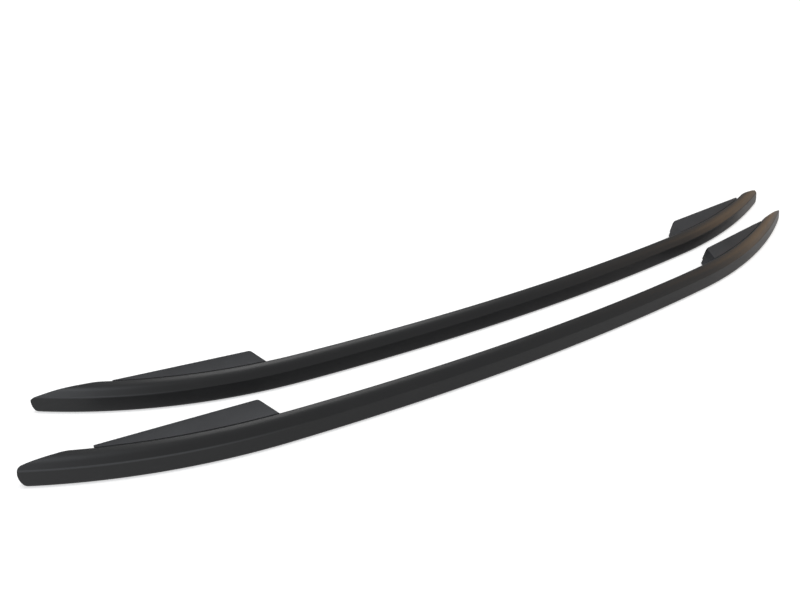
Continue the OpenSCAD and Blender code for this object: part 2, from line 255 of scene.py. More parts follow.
@dataclass(frozen=True)
class Layout:
    """Where the two rails lie."""

    arch: Arch
    front_cut_drop: float
    overlap: float = 14.75 * MM
    slide: float = 23 * MM
    turn_degrees: float = -2.01

    def matrix(self, side: Side) -> Matrix:
        """Placing of a rail.

        Args:
            side: The rail to place.

        Returns:
            Matrix from the drawing frame to the frame of the pair.
        """
        turn = math.radians(self.turn_degrees)
        reach = self.arch.length / 2
        fall = self.front_cut_drop - self.arch.tip(End.FRONT)[1]
        far_x = reach * math.cos(turn) + self.slide
        gap = self.arch.crown - self.overlap
        far_y = reach * math.sin(-turn) + fall * math.cos(turn) + gap
        centre = Vector(((far_x - reach) / 2, (far_y - self.arch.crown) / 2, 0))
        if side is Side.LEFT:
            return Matrix.Translation(-centre) @ Matrix.Diagonal((1, -1, 1, 1))
        offset = Vector((self.slide, gap, 0)) - centre
        return Matrix.Translation(offset) @ Matrix.Rotation(math.pi + turn, 4, "Z")


# Mesh helpers


def link(name: str, mesh: bpy.types.ID) -> bpy.types.Object:
    """Adds an object that stands at the origin.

    Args:
        name: Name of the object.
        mesh: Its mesh or curve.

    Returns:
        The new object.
    """
    thing = bpy.data.objects.new(name, mesh)
    bpy.context.scene.collection.objects.link(thing)
    return thing


def prism(name: str, outline: Sequence[Point2], low: float, high: float, place: Matrix) -> bpy.types.Object:
    """Makes a closed prism.

    Args:
        name: Name of the object.
        outline: Its section in X and Y.
        low: Lower end along Z.
        high: Upper end along Z.
        place: Matrix applied to the finished mesh.

    Returns:
        The prism's object.
    """
    mesh = bpy.data.meshes.new(name)
    shape = bmesh.new()
    rings = [[shape.verts.new((x, y, z)) for x, y in outline] for z in (low, high)]
    shape.faces.new(rings[0])
    shape.faces.new(rings[1])
    for i in range(len(outline)):
        shape.faces.new((rings[0][i - 1], rings[0][i], rings[1][i], rings[1][i - 1]))
    bmesh.ops.recalc_face_normals(shape, faces=shape.faces)
    shape.transform(place)
    if place.determinant() < 0:
        bmesh.ops.reverse_faces(shape, faces=shape.faces)
    shape.to_mesh(mesh)
    shape.free()
    return link(name, mesh)


def section_curve(name: str, outline: Sequence[Point2]) -> bpy.types.Object:
    """Makes a closed curve that a sweep follows.

    Args:
        name: Name of the object.
        outline: Points of the section, as height over the arch and distance outboard.

    Returns:
        The curve's object.
    """
    curve = bpy.data.curves.new(name, "CURVE")
    curve.dimensions = "3D"
    spline = curve.splines.new("POLY")
    spline.points.add(len(outline) - 1)
    for point, (x, y) in zip(spline.points, outline):
        point.co = (-x, -y, 0, 1)  # the sweep turns a section half round
    spline.use_cyclic_u = True
    return link(name, curve)


def drop_objects(things: Iterable[bpy.types.Object]) -> None:
    """Deletes helper objects and their data.

    Args:
        things: The objects to delete.
    """
    for thing in things:
        data = thing.data
        bpy.data.objects.remove(thing)
        store = bpy.data.meshes if isinstance(data, bpy.types.Mesh) else bpy.data.curves
        store.remove(data)


# Geometry node trees


class Tree:
    """A geometry node tree under construction."""

    def __init__(self, name: str) -> None:
        """Starts an empty tree with a geometry output.

        Args:
            name: Name of the tree.
        """
        self.group = bpy.data.node_groups.new(name, "GeometryNodeTree")
        self.group.interface.new_socket("Geometry", in_out="OUTPUT", socket_type="NodeSocketGeometry")
        self.ids: dict[str, str] = {}
        self.entry: bpy.types.Node | None = None

    def inputs(self, **kinds: str) -> None:
        """Adds the tree's named inputs.

        Args:
            kinds: Socket type of each input, by name.
        """
        for name, kind in kinds.items():
            socket = self.group.interface.new_socket(name, in_out="INPUT", socket_type=kind)
            self.ids[name] = socket.identifier
        self.entry = self.group.nodes.new("NodeGroupInput")

    def node(self, kind: str, **values: object) -> bpy.types.Node:
        """Adds a node.

        Args:
            kind: Its identifier.
            values: Attributes of the node.

        Returns:
            The new node.
        """
        made = self.group.nodes.new(kind)
        for name, value in values.items():
            setattr(made, name, value)
        return made

    def wire(self, source: object, target: object) -> None:
        """Links an output to an input."""
        self.group.links.new(source, target)

    def close(self, source: object) -> None:
        """Links the tree's result.

        Args:
            source: The socket that holds the finished geometry.
        """
        exit_node = self.group.nodes.new("NodeGroupOutput")
        self.wire(source, exit_node.inputs["Geometry"])


class ArchSweep:
    """Tree that sweeps a section round the three bends of an arch."""

    NAMES = ("Rear", "Middle", "Front")

    def __init__(self) -> None:
        """Builds the tree."""
        tree = Tree("arch_sweep")
        kinds = {"Section": "NodeSocketObject", "Stations": "NodeSocketInt"}
        for name in self.NAMES:
            kinds[name + " centre"] = "NodeSocketVector"
            for part in (" radius", " start", " sweep"):
                kinds[name + part] = "NodeSocketFloat"
        tree.inputs(**kinds)
        joined = tree.node("GeometryNodeJoinGeometry")
        for name in reversed(self.NAMES):
            tree.wire(self._bend(tree, name), joined.inputs["Geometry"])
        merged = tree.node("GeometryNodeMergeByDistance")
        merged.inputs["Distance"].default_value = 0.01 * MM
        tree.wire(joined.outputs["Geometry"], merged.inputs["Geometry"])
        path = tree.node("GeometryNodeMeshToCurve")
        tree.wire(merged.outputs["Geometry"], path.inputs["Mesh"])
        upright = tree.node("GeometryNodeSetCurveNormal", mode="Z_UP")
        tree.wire(path.outputs["Curve"], upright.inputs["Curve"])
        section = tree.node("GeometryNodeObjectInfo", transform_space="RELATIVE")
        tree.wire(tree.entry.outputs["Section"], section.inputs["Object"])
        swept = tree.node("GeometryNodeCurveToMesh")
        swept.inputs["Fill Caps"].default_value = True
        tree.wire(upright.outputs["Curve"], swept.inputs["Curve"])
        tree.wire(section.outputs["Geometry"], swept.inputs["Profile Curve"])
        tree.close(swept.outputs["Mesh"])
        self.tree = tree

    @staticmethod
    def _bend(tree: Tree, name: str) -> object:
        """Adds one bend as a chain of edges.

        Args:
            tree: The tree under construction.
            name: Which bend.

        Returns:
            The socket that holds the edges.
        """
        arc = tree.node("GeometryNodeCurveArc", mode="RADIUS")
        for source, target in ((" radius", "Radius"), (" start", "Start Angle"), (" sweep", "Sweep Angle")):
            tree.wire(tree.entry.outputs[name + source], arc.inputs[target])
        tree.wire(tree.entry.outputs["Stations"], arc.inputs["Resolution"])
        edges = tree.node("GeometryNodeCurveToMesh")
        tree.wire(arc.outputs["Curve"], edges.inputs["Curve"])
        placed = tree.node("GeometryNodeTransform")
        tree.wire(edges.outputs["Mesh"], placed.inputs["Geometry"])
        tree.wire(tree.entry.outputs[name + " centre"], placed.inputs["Translation"])
        return placed.outputs["Geometry"]


class BarTree:
    """Tree that makes a whole bar: swept outside, swept hollow and slanted, rounded noses."""

    def __init__(self, sweep: ArchSweep) -> None:
        """Builds the tree.

        Args:
            sweep: The sweep that it uses twice.
        """
        tree = Tree("hollow_bar")
        kinds = dict.fromkeys(("Hollow section", "Plan", "Flank", "Core"), "NodeSocketObject")
        kinds |= {"Edge angle": "NodeSocketFloat", "Finish": "NodeSocketMaterial"}
        for item in sweep.tree.group.interface.items_tree:
            if item.in_out == "INPUT":
                kinds[item.name] = item.socket_type
        tree.inputs(**kinds)
        body = self._within(tree, self._sweep(tree, sweep, "Section"), ("Plan", "Flank"))
        hollow = self._within(tree, self._sweep(tree, sweep, "Hollow section"), ("Core",))
        opened = tree.node("GeometryNodeMeshBoolean", operation="DIFFERENCE", solver="EXACT")
        tree.wire(body, opened.inputs["Mesh 1"])
        tree.wire(hollow, opened.inputs["Mesh 2"])
        smooth = tree.node("GeometryNodeSetShadeSmooth", domain="FACE")
        tree.wire(opened.outputs["Mesh"], smooth.inputs["Geometry"])
        angle = tree.node("GeometryNodeInputMeshEdgeAngle")
        sharp = tree.node("FunctionNodeCompare", data_type="FLOAT", operation="GREATER_THAN")
        tree.wire(angle.outputs["Unsigned Angle"], sharp.inputs["A"])
        tree.wire(tree.entry.outputs["Edge angle"], sharp.inputs["B"])
        edges = tree.node("GeometryNodeSetShadeSmooth", domain="EDGE")
        edges.inputs["Shade Smooth"].default_value = False
        tree.wire(smooth.outputs["Geometry"], edges.inputs["Geometry"])
        tree.wire(sharp.outputs["Result"], edges.inputs["Selection"])
        real = tree.node("GeometryNodeRealizeInstances")
        tree.wire(edges.outputs["Geometry"], real.inputs["Geometry"])
        dressed = tree.node("GeometryNodeSetMaterial")
        tree.wire(real.outputs["Geometry"], dressed.inputs["Geometry"])
        tree.wire(tree.entry.outputs["Finish"], dressed.inputs["Material"])
        tree.close(dressed.outputs["Geometry"])
        self.tree = tree

    @staticmethod
    def _sweep(tree: Tree, sweep: ArchSweep, section: str) -> object:
        """Adds a sweep of one section.

        Args:
            tree: The tree under construction.
            sweep: The sweep's own tree.
            section: Name of the input that holds the section.

        Returns:
            The socket that holds the swept mesh.
        """
        node = tree.node("GeometryNodeGroup", node_tree=sweep.tree.group)
        for socket in node.inputs:
            source = section if socket.name == "Section" else socket.name
            tree.wire(tree.entry.outputs[source], socket)
        return node.outputs["Geometry"]

    @staticmethod
    def _within(tree: Tree, source: object, tools: Sequence[str]) -> object:
        """Keeps what lies inside each of the tool objects.

        Args:
            tree: The tree under construction.
            source: Socket of the mesh that is cut.
            tools: Names of the inputs that hold the tool objects.

        Returns:
            The socket that holds the result.
        """
        for tool in tools:
            info = tree.node("GeometryNodeObjectInfo", transform_space="RELATIVE")
            tree.wire(tree.entry.outputs[tool], info.inputs["Object"])
            cut = tree.node("GeometryNodeMeshBoolean", operation="INTERSECT", solver="EXACT")
            tree.wire(source, cut.inputs["Mesh 2"])
            tree.wire(info.outputs["Geometry"], cut.inputs["Mesh 2"])
            source = cut.outputs["Mesh"]
        return source


# Finishes


class Shader:
    """A shader node tree under construction."""

    def __init__(self, nodes: bpy.types.NodeTree) -> None:
        """Wraps a node tree.

        Args:
            nodes: The tree of a material or of a group.
        """
        self.nodes = nodes

    def add(self, kind: str, sockets: dict[str, object] | None = None, **values: object) -> bpy.types.Node:
        """Adds a node and fills its inputs.

        Args:
            kind: Identifier of the node.
            sockets: Value or source of each input, by name or index.
            values: Attributes of the node.

        Returns:
            The new node.
        """
        made = self.nodes.nodes.new(kind)
        for name, value in values.items():
            setattr(made, name, value)
        for name, value in (sockets or {}).items():
            if isinstance(value, bpy.types.NodeSocket):
                self.nodes.links.new(value, made.inputs[name])
            else:
                made.inputs[name].default_value = value
        return made

    def maths(self, operation: str, a: object, b: object = 0.0) -> bpy.types.NodeSocket:
        """Adds a math node.

        Args:
            operation: The operation.
            a: First value or socket.
            b: Second value or socket.

        Returns:
            The result's socket.
        """
        return self.add("ShaderNodeMath", {0: a, 1: b}, operation=operation).outputs[0]

    def blend(self, factor: object, low: object, high: object) -> bpy.types.NodeSocket:
        """Mixes two colours.

        Args:
            factor: Share of the second colour.
            low: First colour.
            high: Second colour.

        Returns:
            The mixed colour's socket.
        """
        mix = self.add("ShaderNodeMix", data_type="RGBA")
        for index, value in ((0, factor), (6, low), (7, high)):
            if isinstance(value, bpy.types.NodeSocket):
                self.nodes.links.new(value, mix.inputs[index])
            else:
                mix.inputs[index].default_value = value
        return mix.outputs[2]

    def stretch(self, value: object, low: Point2, high: Point2) -> bpy.types.NodeSocket:
        """Maps a value from one range to another and clamps it.

        Args:
            value: The socket to map.
            low: Where the range starts, before and after.
            high: Where the range ends, before and after.

        Returns:
            The mapped value's socket.
        """
        names = ("Value", "From Min", "From Max", "To Min", "To Max")
        sockets = dict(zip(names, (value, low[0], high[0], low[1], high[1])))
        return self.add("ShaderNodeMapRange", sockets).outputs["Result"]

    def squeeze(self, vector: object, share: float) -> bpy.types.NodeSocket:
        """Shrinks a pattern's place along X, which draws the pattern out along X.

        Args:
            vector: The place's socket.
            share: What is left of X.

        Returns:
            The squeezed place's socket.
        """
        sockets = {0: vector, 1: (share, 1.0, 1.0)}
        return self.add("ShaderNodeVectorMath", sockets, operation="MULTIPLY").outputs[0]

    def noise(self, vector: object, scale: object, detail: float) -> bpy.types.NodeSocket:
        """Adds a noise.

        Args:
            vector: The place's socket.
            scale: Its number of waves to a metre, as a value or a socket.
            detail: Its number of finer layers.

        Returns:
            The noise's socket.
        """
        sockets = {"Vector": vector, "Scale": scale, "Detail": detail}
        return self.add("ShaderNodeTexNoise", sockets).outputs["Fac"]


class Effects(Enum):
    """Shared effects, each a node group of its own."""

    GRAIN = "moulded_grain"
    DRAWN = "drawn_lines"
    SCUFF = "handling_scuffs"


def effect_group(
    effect: Effects, inputs: dict[str, float | None], outputs: Sequence[str]
) -> tuple[Shader, dict, dict]:
    """Starts a shader group.

    Args:
        effect: Which effect the group makes.
        inputs: Default of each float input, or None for a vector.
        outputs: Names of the float outputs.

    Returns:
        The tree under construction, its input sockets and the inputs of its output node.
    """
    group = bpy.data.node_groups.new(effect.value, "ShaderNodeTree")
    for label, default in inputs.items():
        kind = "NodeSocketVector" if default is None else "NodeSocketFloat"
        socket = group.interface.new_socket(label, in_out="INPUT", socket_type=kind)
        if default is not None:
            socket.default_value = default
    for label in outputs:
        group.interface.new_socket(label, in_out="OUTPUT", socket_type="NodeSocketFloat")
    shader = Shader(group)
    entry = shader.add("NodeGroupInput")
    leave = shader.add("NodeGroupOutput")
    return shader, {s.name: s for s in entry.outputs}, {s.name: s for s in leave.inputs}


@dataclass(frozen=True)
class MouldedGrain:
    """Fine, even grain of a moulded face, with a slow change of tone."""

    pitch: float = 1100.0
    cell_share: float = 0.7
    dust_pitch_times: float = 2.3
    dust_detail: float = 3.0
    tone_pitch: float = 9.0
    tone_detail: float = 4.0

    def build(self) -> bpy.types.NodeTree:
        """Builds the group, which puts out Height and Tone."""
        shader, given, wanted = effect_group(
            Effects.GRAIN, {"Vector": None, "Pitch": self.pitch}, ("Height", "Tone"))
        cells = shader.add("ShaderNodeTexVoronoi", {"Vector": given["Vector"], "Scale": given["Pitch"]})
        fine = shader.maths("MULTIPLY", given["Pitch"], self.dust_pitch_times)
        dust = shader.noise(given["Vector"], fine, self.dust_detail)
        mixed = shader.maths("MULTIPLY_ADD", cells.outputs["Distance"], self.cell_share)
        shader.nodes.links.new(dust, mixed.node.inputs[2])
        shader.nodes.links.new(mixed, wanted["Height"])
        tone = shader.noise(given["Vector"], self.tone_pitch, self.tone_detail)
        shader.nodes.links.new(tone, wanted["Tone"])
        return shader.nodes


@dataclass(frozen=True)
class DrawnLines:
    """Fine lines that an extrusion's die leaves along it, with a slow change of tone."""

    pitch: float = 900.0
    line_squeeze: float = 0.004
    line_detail: float = 2.0
    tone_squeeze: float = 0.25
    tone_pitch: float = 26.0
    tone_detail: float = 3.0

    def build(self) -> bpy.types.NodeTree:
        """Builds the group, which puts out Height and Tone."""
        shader, given, wanted = effect_group(
            Effects.DRAWN, {"Vector": None, "Pitch": self.pitch}, ("Height", "Tone"))
        thin = shader.squeeze(given["Vector"], self.line_squeeze)
        lines = shader.noise(thin, given["Pitch"], self.line_detail)
        shader.nodes.links.new(lines, wanted["Height"])
        wide = shader.squeeze(given["Vector"], self.tone_squeeze)
        cloud = shader.noise(wide, self.tone_pitch, self.tone_detail)
        shader.nodes.links.new(cloud, wanted["Tone"])
        return shader.nodes


@dataclass(frozen=True)
class HandlingScuffs:
    """Rare dull patches from handling."""

    amount: float = 0.5
    pitch: float = 45.0
    squeeze: float = 0.35
    detail: float = 6.0
    roughness: float = 0.65
    bare_below: float = 0.56
    full_above: float = 0.74

    def build(self) -> bpy.types.NodeTree:
        """Builds the group, which puts out Mask."""
        shader, given, wanted = effect_group(
            Effects.SCUFF, {"Vector": None, "Amount": self.amount, "Pitch": self.pitch}, ("Mask",))
        warp = shader.squeeze(given["Vector"], self.squeeze)
        patches = shader.noise(warp, given["Pitch"], self.detail)
        patches.node.inputs["Roughness"].default_value = self.roughness
        rare = shader.stretch(patches, (self.bare_below, 0.0), (self.full_above, 1.0))
        shader.nodes.links.new(shader.maths("MULTIPLY", rare, given["Amount"]), wanted["Mask"])
        return shader.nodes


def build_effects() -> dict[Effects, bpy.types.NodeTree]:
    """Builds the shared effects.

    Returns:
        The group of each effect.
    """
    return {
        Effects.GRAIN: MouldedGrain().build(),
        Effects.DRAWN: DrawnLines().build(),
        Effects.SCUFF: HandlingScuffs().build(),
    }


@dataclass(frozen=True)
class SatinBar:
    """Black anodised extrusion: satin, with drawn lines, a few scuffs and a painted highlight along the
    crease near both ends.
    """

    crease: Point2
    name: str = "black_anodised"
    colour: Colour = (0.013, 0.0135, 0.0145)
    # Lighter colour of the handling scuffs and of the painted highlight along the crease.
    scuff_and_highlight_colour: Colour = (0.05, 0.052, 0.055)
    roughness: float = 0.36
    specular: float = 0.5
    tone_range: Point2 = (0.3, 0.7)
    tone_swing: Point2 = (-0.04, 0.05)
    # Extra roughness on the scuffs and on the painted highlight.
    scuff_and_highlight_roughness: float = 0.25
    line_depth: float = 0.01 * MM
    line_strength: float = 0.35
    scuff_start: float = 0.74
    scuff_run: float = 0.1
    scuff_middle: float = 0.12
    scuff_share: float = 0.5
    # Width, start and run of the painted highlight along the crease near both ends.
    highlight_reach: Point2 = (0.7 * MM, 2.0 * MM)
    highlight_start: float = 0.52
    highlight_run: float = 0.2

    def build(self, effects: dict[Effects, bpy.types.NodeTree]) -> bpy.types.Material:
        """Builds the material.

        Args:
            effects: The shared effects.

        Returns:
            The finished material.
        """
        shader, surface, leave = new_material(self.name)
        flow = shader.add("ShaderNodeAttribute", attribute_name="flow").outputs["Vector"]
        lines = shader.add("ShaderNodeGroup", {"Vector": flow}, node_tree=effects[Effects.DRAWN])
        split = shader.add("ShaderNodeSeparateXYZ", {0: flow})
        away = shader.maths("ABSOLUTE", split.outputs["X"])
        full = self.scuff_start + self.scuff_run
        near_tip = shader.stretch(away, (self.scuff_start, self.scuff_middle), (full, 1.0))
        sockets = {"Vector": flow, "Amount": near_tip}
        scuff = shader.add("ShaderNodeGroup", sockets, node_tree=effects[Effects.SCUFF])
        faint = shader.maths("MULTIPLY", scuff.outputs["Mask"], self.scuff_share)
        # Real handling scuffs joined with a painted highlight along the crease.
        mask = shader.maths("MAXIMUM", faint, self._crease_highlight(shader, split, away))
        colour = shader.blend(mask, (*self.colour, 1), (*self.scuff_and_highlight_colour, 1))
        shader.nodes.links.new(colour, surface.inputs["Base Color"])
        rough = shader.maths("MULTIPLY_ADD", mask, self.scuff_and_highlight_roughness)
        ends = [(tone, self.roughness + swing) for tone, swing in zip(self.tone_range, self.tone_swing)]
        base = shader.stretch(lines.outputs["Tone"], *ends)
        shader.nodes.links.new(base, rough.node.inputs[2])
        shader.nodes.links.new(rough, surface.inputs["Roughness"])
        height = lines.outputs["Height"]
        sockets = {"Height": height, "Strength": self.line_strength, "Distance": self.line_depth}
        bump = shader.add("ShaderNodeBump", sockets)
        shader.nodes.links.new(bump.outputs["Normal"], surface.inputs["Normal"])
        surface.inputs["Specular IOR Level"].default_value = self.specular
        return leave

    def _crease_highlight(self, shader: Shader, split: bpy.types.Node, away: object) -> bpy.types.NodeSocket:
        """Mask of a painted highlight along the crease, towards both ends.

        Args:
            shader: Tree under construction.
            split: Node that gives the place along, up and outboard.
            away: Distance from the crown along the bar.

        Returns:
            The mask, from 0 to 1.
        """
        # A lighter line painted along the crease stands in for a highlight.
        offsets = [shader.maths("SUBTRACT", split.outputs[axis], at) for axis, at in zip("YZ", self.crease)]
        squares = shader.maths("ADD", *(shader.maths("MULTIPLY", offset, offset) for offset in offsets))
        near, far = self.highlight_reach
        line = shader.stretch(shader.maths("SQRT", squares), (near, 1.0), (far, 0.0))
        ends = shader.stretch(away, (self.highlight_start, 0.0), (self.highlight_start + self.highlight_run, 1.0))
        return shader.maths("MULTIPLY", line, ends)


@dataclass(frozen=True)
class Moulding:
    """Injection moulded plastic with a fine, even grain."""

    name: str
    colour: Colour
    roughness: float
    pitch: float = 1100.0
    grain: float = 0.04 * MM
    strength: float = 0.5
    specular: float = 0.4
    pale: float = 1.35
    deep: float = 0.75
    tone_range: Point2 = (0.3, 0.7)
    grain_range: Point2 = (0.4, 1.1)
    swing: float = 0.06

    def build(self, effects: dict[Effects, bpy.types.NodeTree]) -> bpy.types.Material:
        """Builds the material.

        Args:
            effects: The shared effects.

        Returns:
            The finished material.
        """
        shader, surface, leave = new_material(self.name)
        place = shader.add("ShaderNodeTexCoord").outputs["Object"]
        sockets = {"Vector": place, "Pitch": self.pitch}
        grain = shader.add("ShaderNodeGroup", sockets, node_tree=effects[Effects.GRAIN])
        pale = tuple(min(1.0, c * self.pale) for c in self.colour)
        deep = tuple(c * self.deep for c in self.colour)
        tone = shader.stretch(grain.outputs["Tone"], (self.tone_range[0], 0.0), (self.tone_range[1], 1.0))
        shader.nodes.links.new(shader.blend(tone, (*deep, 1), (*pale, 1)), surface.inputs["Base Color"])
        low, high = self.grain_range
        least, most = self.roughness - self.swing, self.roughness + self.swing
        rough = shader.stretch(grain.outputs["Height"], (low, least), (high, most))
        shader.nodes.links.new(rough, surface.inputs["Roughness"])
        sockets = {"Height": grain.outputs["Height"], "Strength": self.strength, "Distance": self.grain}
        bump = shader.add("ShaderNodeBump", sockets)
        shader.nodes.links.new(bump.outputs["Normal"], surface.inputs["Normal"])
        surface.inputs["Specular IOR Level"].default_value = self.specular
        return leave


@dataclass(frozen=True)
class Turned:
    """Small turned or plated metal part."""

    name: str
    colour: Colour
    roughness: float
    scuff_amount: float = 0.8
    scuff_pitch: float = 600.0
    scuff_roughness: float = 0.2
    dull: float = 0.6

    def build(self, effects: dict[Effects, bpy.types.NodeTree]) -> bpy.types.Material:
        """Builds the material.

        Args:
            effects: The shared effects.

        Returns:
            The finished material.
        """
        shader, surface, leave = new_material(self.name)
        place = shader.add("ShaderNodeTexCoord").outputs["Object"]
        sockets = {"Vector": place, "Amount": self.scuff_amount, "Pitch": self.scuff_pitch}
        scuff = shader.add("ShaderNodeGroup", sockets, node_tree=effects[Effects.SCUFF])
        dull = tuple(c * self.dull for c in self.colour)
        colour = shader.blend(scuff.outputs["Mask"], (*self.colour, 1), (*dull, 1))
        shader.nodes.links.new(colour, surface.inputs["Base Color"])
        most = self.roughness + self.scuff_roughness
        rough = shader.stretch(scuff.outputs["Mask"], (0.0, self.roughness), (1.0, most))
        shader.nodes.links.new(rough, surface.inputs["Roughness"])
        surface.inputs["Metallic"].default_value = 1.0
        return leave


def new_material(name: str) -> tuple[Shader, bpy.types.Node, bpy.types.Material]:
    """Starts a material.

    Args:
        name: Its name.

    Returns:
        Its tree under construction, its surface node and the material.
    """
    material = bpy.data.materials.new(name)
    material.use_nodes = True
    shader = Shader(material.node_tree)
    return shader, material.node_tree.nodes["Principled BSDF"], material


# The rails


@dataclass
class Bars:
    """The two hollow bars."""

    arch: Arch
    layout: Layout
    finish: bpy.types.Material
    height: float = 32.3 * MM
    width: float = 44 * MM
    wall: float = 2.5 * MM
    crease: Point2 = (-10.3 * MM, 27.6 * MM)
    shoulder: Point2 = (-20.3 * MM, 39.5 * MM)
    roundings: Sequence[float] = (1.5 * MM, 22 * MM, 3 * MM, 4 * MM, 5 * MM)
    hollow_roundings: Sequence[float] = (1 * MM, 19.5 * MM, 1 * MM, 1.5 * MM, 2.5 * MM)
    cut_drop: Point2 = (14.6 * MM, 9.4 * MM)
    cut_end: Point2 = (77.3 * MM, 115.9 * MM)
    nose_solid: float = 16 * MM
    nose_round: float = 5 * MM
    cut_round: float = 1.5 * MM
    nose_inner_round: Point2 = (18 * MM, 15 * MM)
    nose_outer_round: Point2 = (18 * MM, 15 * MM)
    flank_run: float = 60 * MM
    flank_rise: Point2 = (19 * MM, 27 * MM)
    flank_fall: float = 3 * MM
    past: float = 4 * MM
    stations: int = 96
    overrun: float = math.radians(1)
    edge_angle: float = math.radians(24)
    flat_hold: float = 0.4 * MM
    hollow_step: float = 0.2

    def corners(self) -> list[Point2]:
        """Corners of the section, as height over the arch and distance outboard, anticlockwise."""
        deep = -self.height
        return [self.crease, self.shoulder, (deep, self.width), (deep, 0.0), (0.0, 0.0)]

    def plan(self) -> list[Point2]:
        """Outline of all that lies above the nose cuts and between the tips, in plan."""
        rear, front = self.arch.tip(End.REAR), self.arch.tip(End.FRONT)
        slopes = [math.tan(self.arch.tip_turn(end)) for end in End]
        half = self.arch.length / 2
        peak = (front[1] + half * (slopes[1] - slopes[0])) / (slopes[0] + slopes[1])

        def cut(end: End, distance: float) -> Point2:
            """Point of a nose cut at a distance from its tip."""
            x, y = self.arch.tip(end)
            reach, drop = self.cut_end[end.value], self.cut_drop[end.value]
            rise = self.arch.level(end, reach, self.height) + drop
            return (x + end.inward * distance, y - drop + rise * distance / reach)

        ends = [reach + self.past for reach in self.cut_end]
        corners = [cut(End.REAR, 0), cut(End.REAR, ends[0]), cut(End.FRONT, ends[1]), cut(End.FRONT, 0),
                   front, (peak, (peak + half) * slopes[0]), rear]
        return rounded(corners, [self.cut_round, 0, 0, self.cut_round, self.nose_round, 0, self.nose_round])

    def flank(self) -> list[Point2]:
        """Outline of the tips seen from above the bar, as distance forward and outboard."""
        tip = self.arch.length / 2
        top = [self.crease[1] + drop + self.crease[0] for drop in self.cut_drop]
        run = self.flank_run
        fall, rise = self.flank_fall, self.flank_rise
        corners = [(-tip, 0), (run - tip, -fall), (tip - run, -fall), (tip, 0), (tip, top[1]),
                   (tip - run, top[1] + rise[1]), (run - tip, top[0] + rise[0]), (-tip, top[0])]
        inner, outer = self.nose_inner_round, self.nose_outer_round
        return rounded(corners, [inner[0], 0, 0, inner[1], outer[1], 0, 0, outer[0]])

    def drawn(self) -> bpy.types.Mesh:
        """Makes the bar in the drawing frame.

        Returns:
            Its finished mesh.
        """
        # The tools only have to reach well past the bar
        tall = 4 * self.arch.crown
        spare = self.width
        upright = Matrix.Rotation(math.pi / 2, 4, "X")
        outline = rounded(self.corners(), self.roundings, hold=self.flat_hold)
        inner = rounded(inset(self.corners(), self.wall), self.hollow_roundings, step=self.hollow_step)
        reach = self.arch.length / 2 - self.nose_solid
        box = [(-reach, -tall), (reach, -tall), (reach, tall), (-reach, tall)]
        tools = {
            "Section": section_curve("bar_section", outline),
            "Hollow section": section_curve("hollow_section", inner),
            "Plan": prism("plan_tool", self.plan(), -spare, 2 * spare, Matrix()),
            "Flank": prism("flank_tool", self.flank(), -tall, tall, upright),
            "Core": prism("core_tool", box, -spare, 2 * spare, Matrix()),
        }
        holder = link("bar_draft", bpy.data.meshes.new("bar_draft"))
        tree = BarTree(ArchSweep()).tree
        modifier = holder.modifiers.new("bar", "NODES")
        modifier.node_group = tree.group
        for name, value in {**tools, **self._bends()}.items():
            modifier[tree.ids[name]] = value
        modifier[tree.ids["Stations"]] = self.stations
        modifier[tree.ids["Edge angle"]] = self.edge_angle
        modifier[tree.ids["Finish"]] = self.finish
        ready = holder.evaluated_get(bpy.context.evaluated_depsgraph_get())
        mesh = bpy.data.meshes.new_from_object(ready)
        drop_objects([holder, *tools.values()])
        return mesh

    def _bends(self) -> dict[str, object]:
        """Tree inputs that describe the three bends."""
        quarter, arch = math.pi / 2, self.arch
        turn = {end: arch.turn(end) for end in End}
        past = {end: arch.tip_turn(end) - turn[end] + self.overrun for end in End}
        return {
            "Rear centre": tuple(arch.bend_centre(End.REAR)),
            "Rear radius": arch.end_radius[0],
            "Rear start": quarter + turn[End.REAR] + past[End.REAR],
            "Rear sweep": -past[End.REAR],
            "Middle centre": tuple(arch.middle_centre),
            "Middle radius": arch.middle_radius,
            "Middle start": quarter + turn[End.REAR],
            "Middle sweep": -turn[End.REAR] - turn[End.FRONT],
            "Front centre": tuple(arch.bend_centre(End.FRONT)),
            "Front radius": arch.end_radius[1],
            "Front start": quarter - turn[End.FRONT],
            "Front sweep": -past[End.FRONT],
        }

    def build(self) -> list[bpy.types.Object]:
        """Makes and dresses both bars.

        Returns:
            The two pieces.
        """
        draft = self.drawn()
        flow = draft.attributes.new("flow", "FLOAT_VECTOR", "POINT")
        for vertex, entry in zip(draft.vertices, flow.data):
            entry.vector = self.arch.flow(vertex.co)
        made = []
        for side in Side:
            mesh = draft.copy()
            place = self.layout.matrix(side)
            mesh.transform(place)
            if place.determinant() < 0:
                mesh.flip_normals()
            piece = link(f"{side.value}_rail_bar", mesh)
            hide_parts(f"{side.value}_bar")
            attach(piece, BODY)
            made.append(piece)
        bpy.data.meshes.remove(draft)
        return made


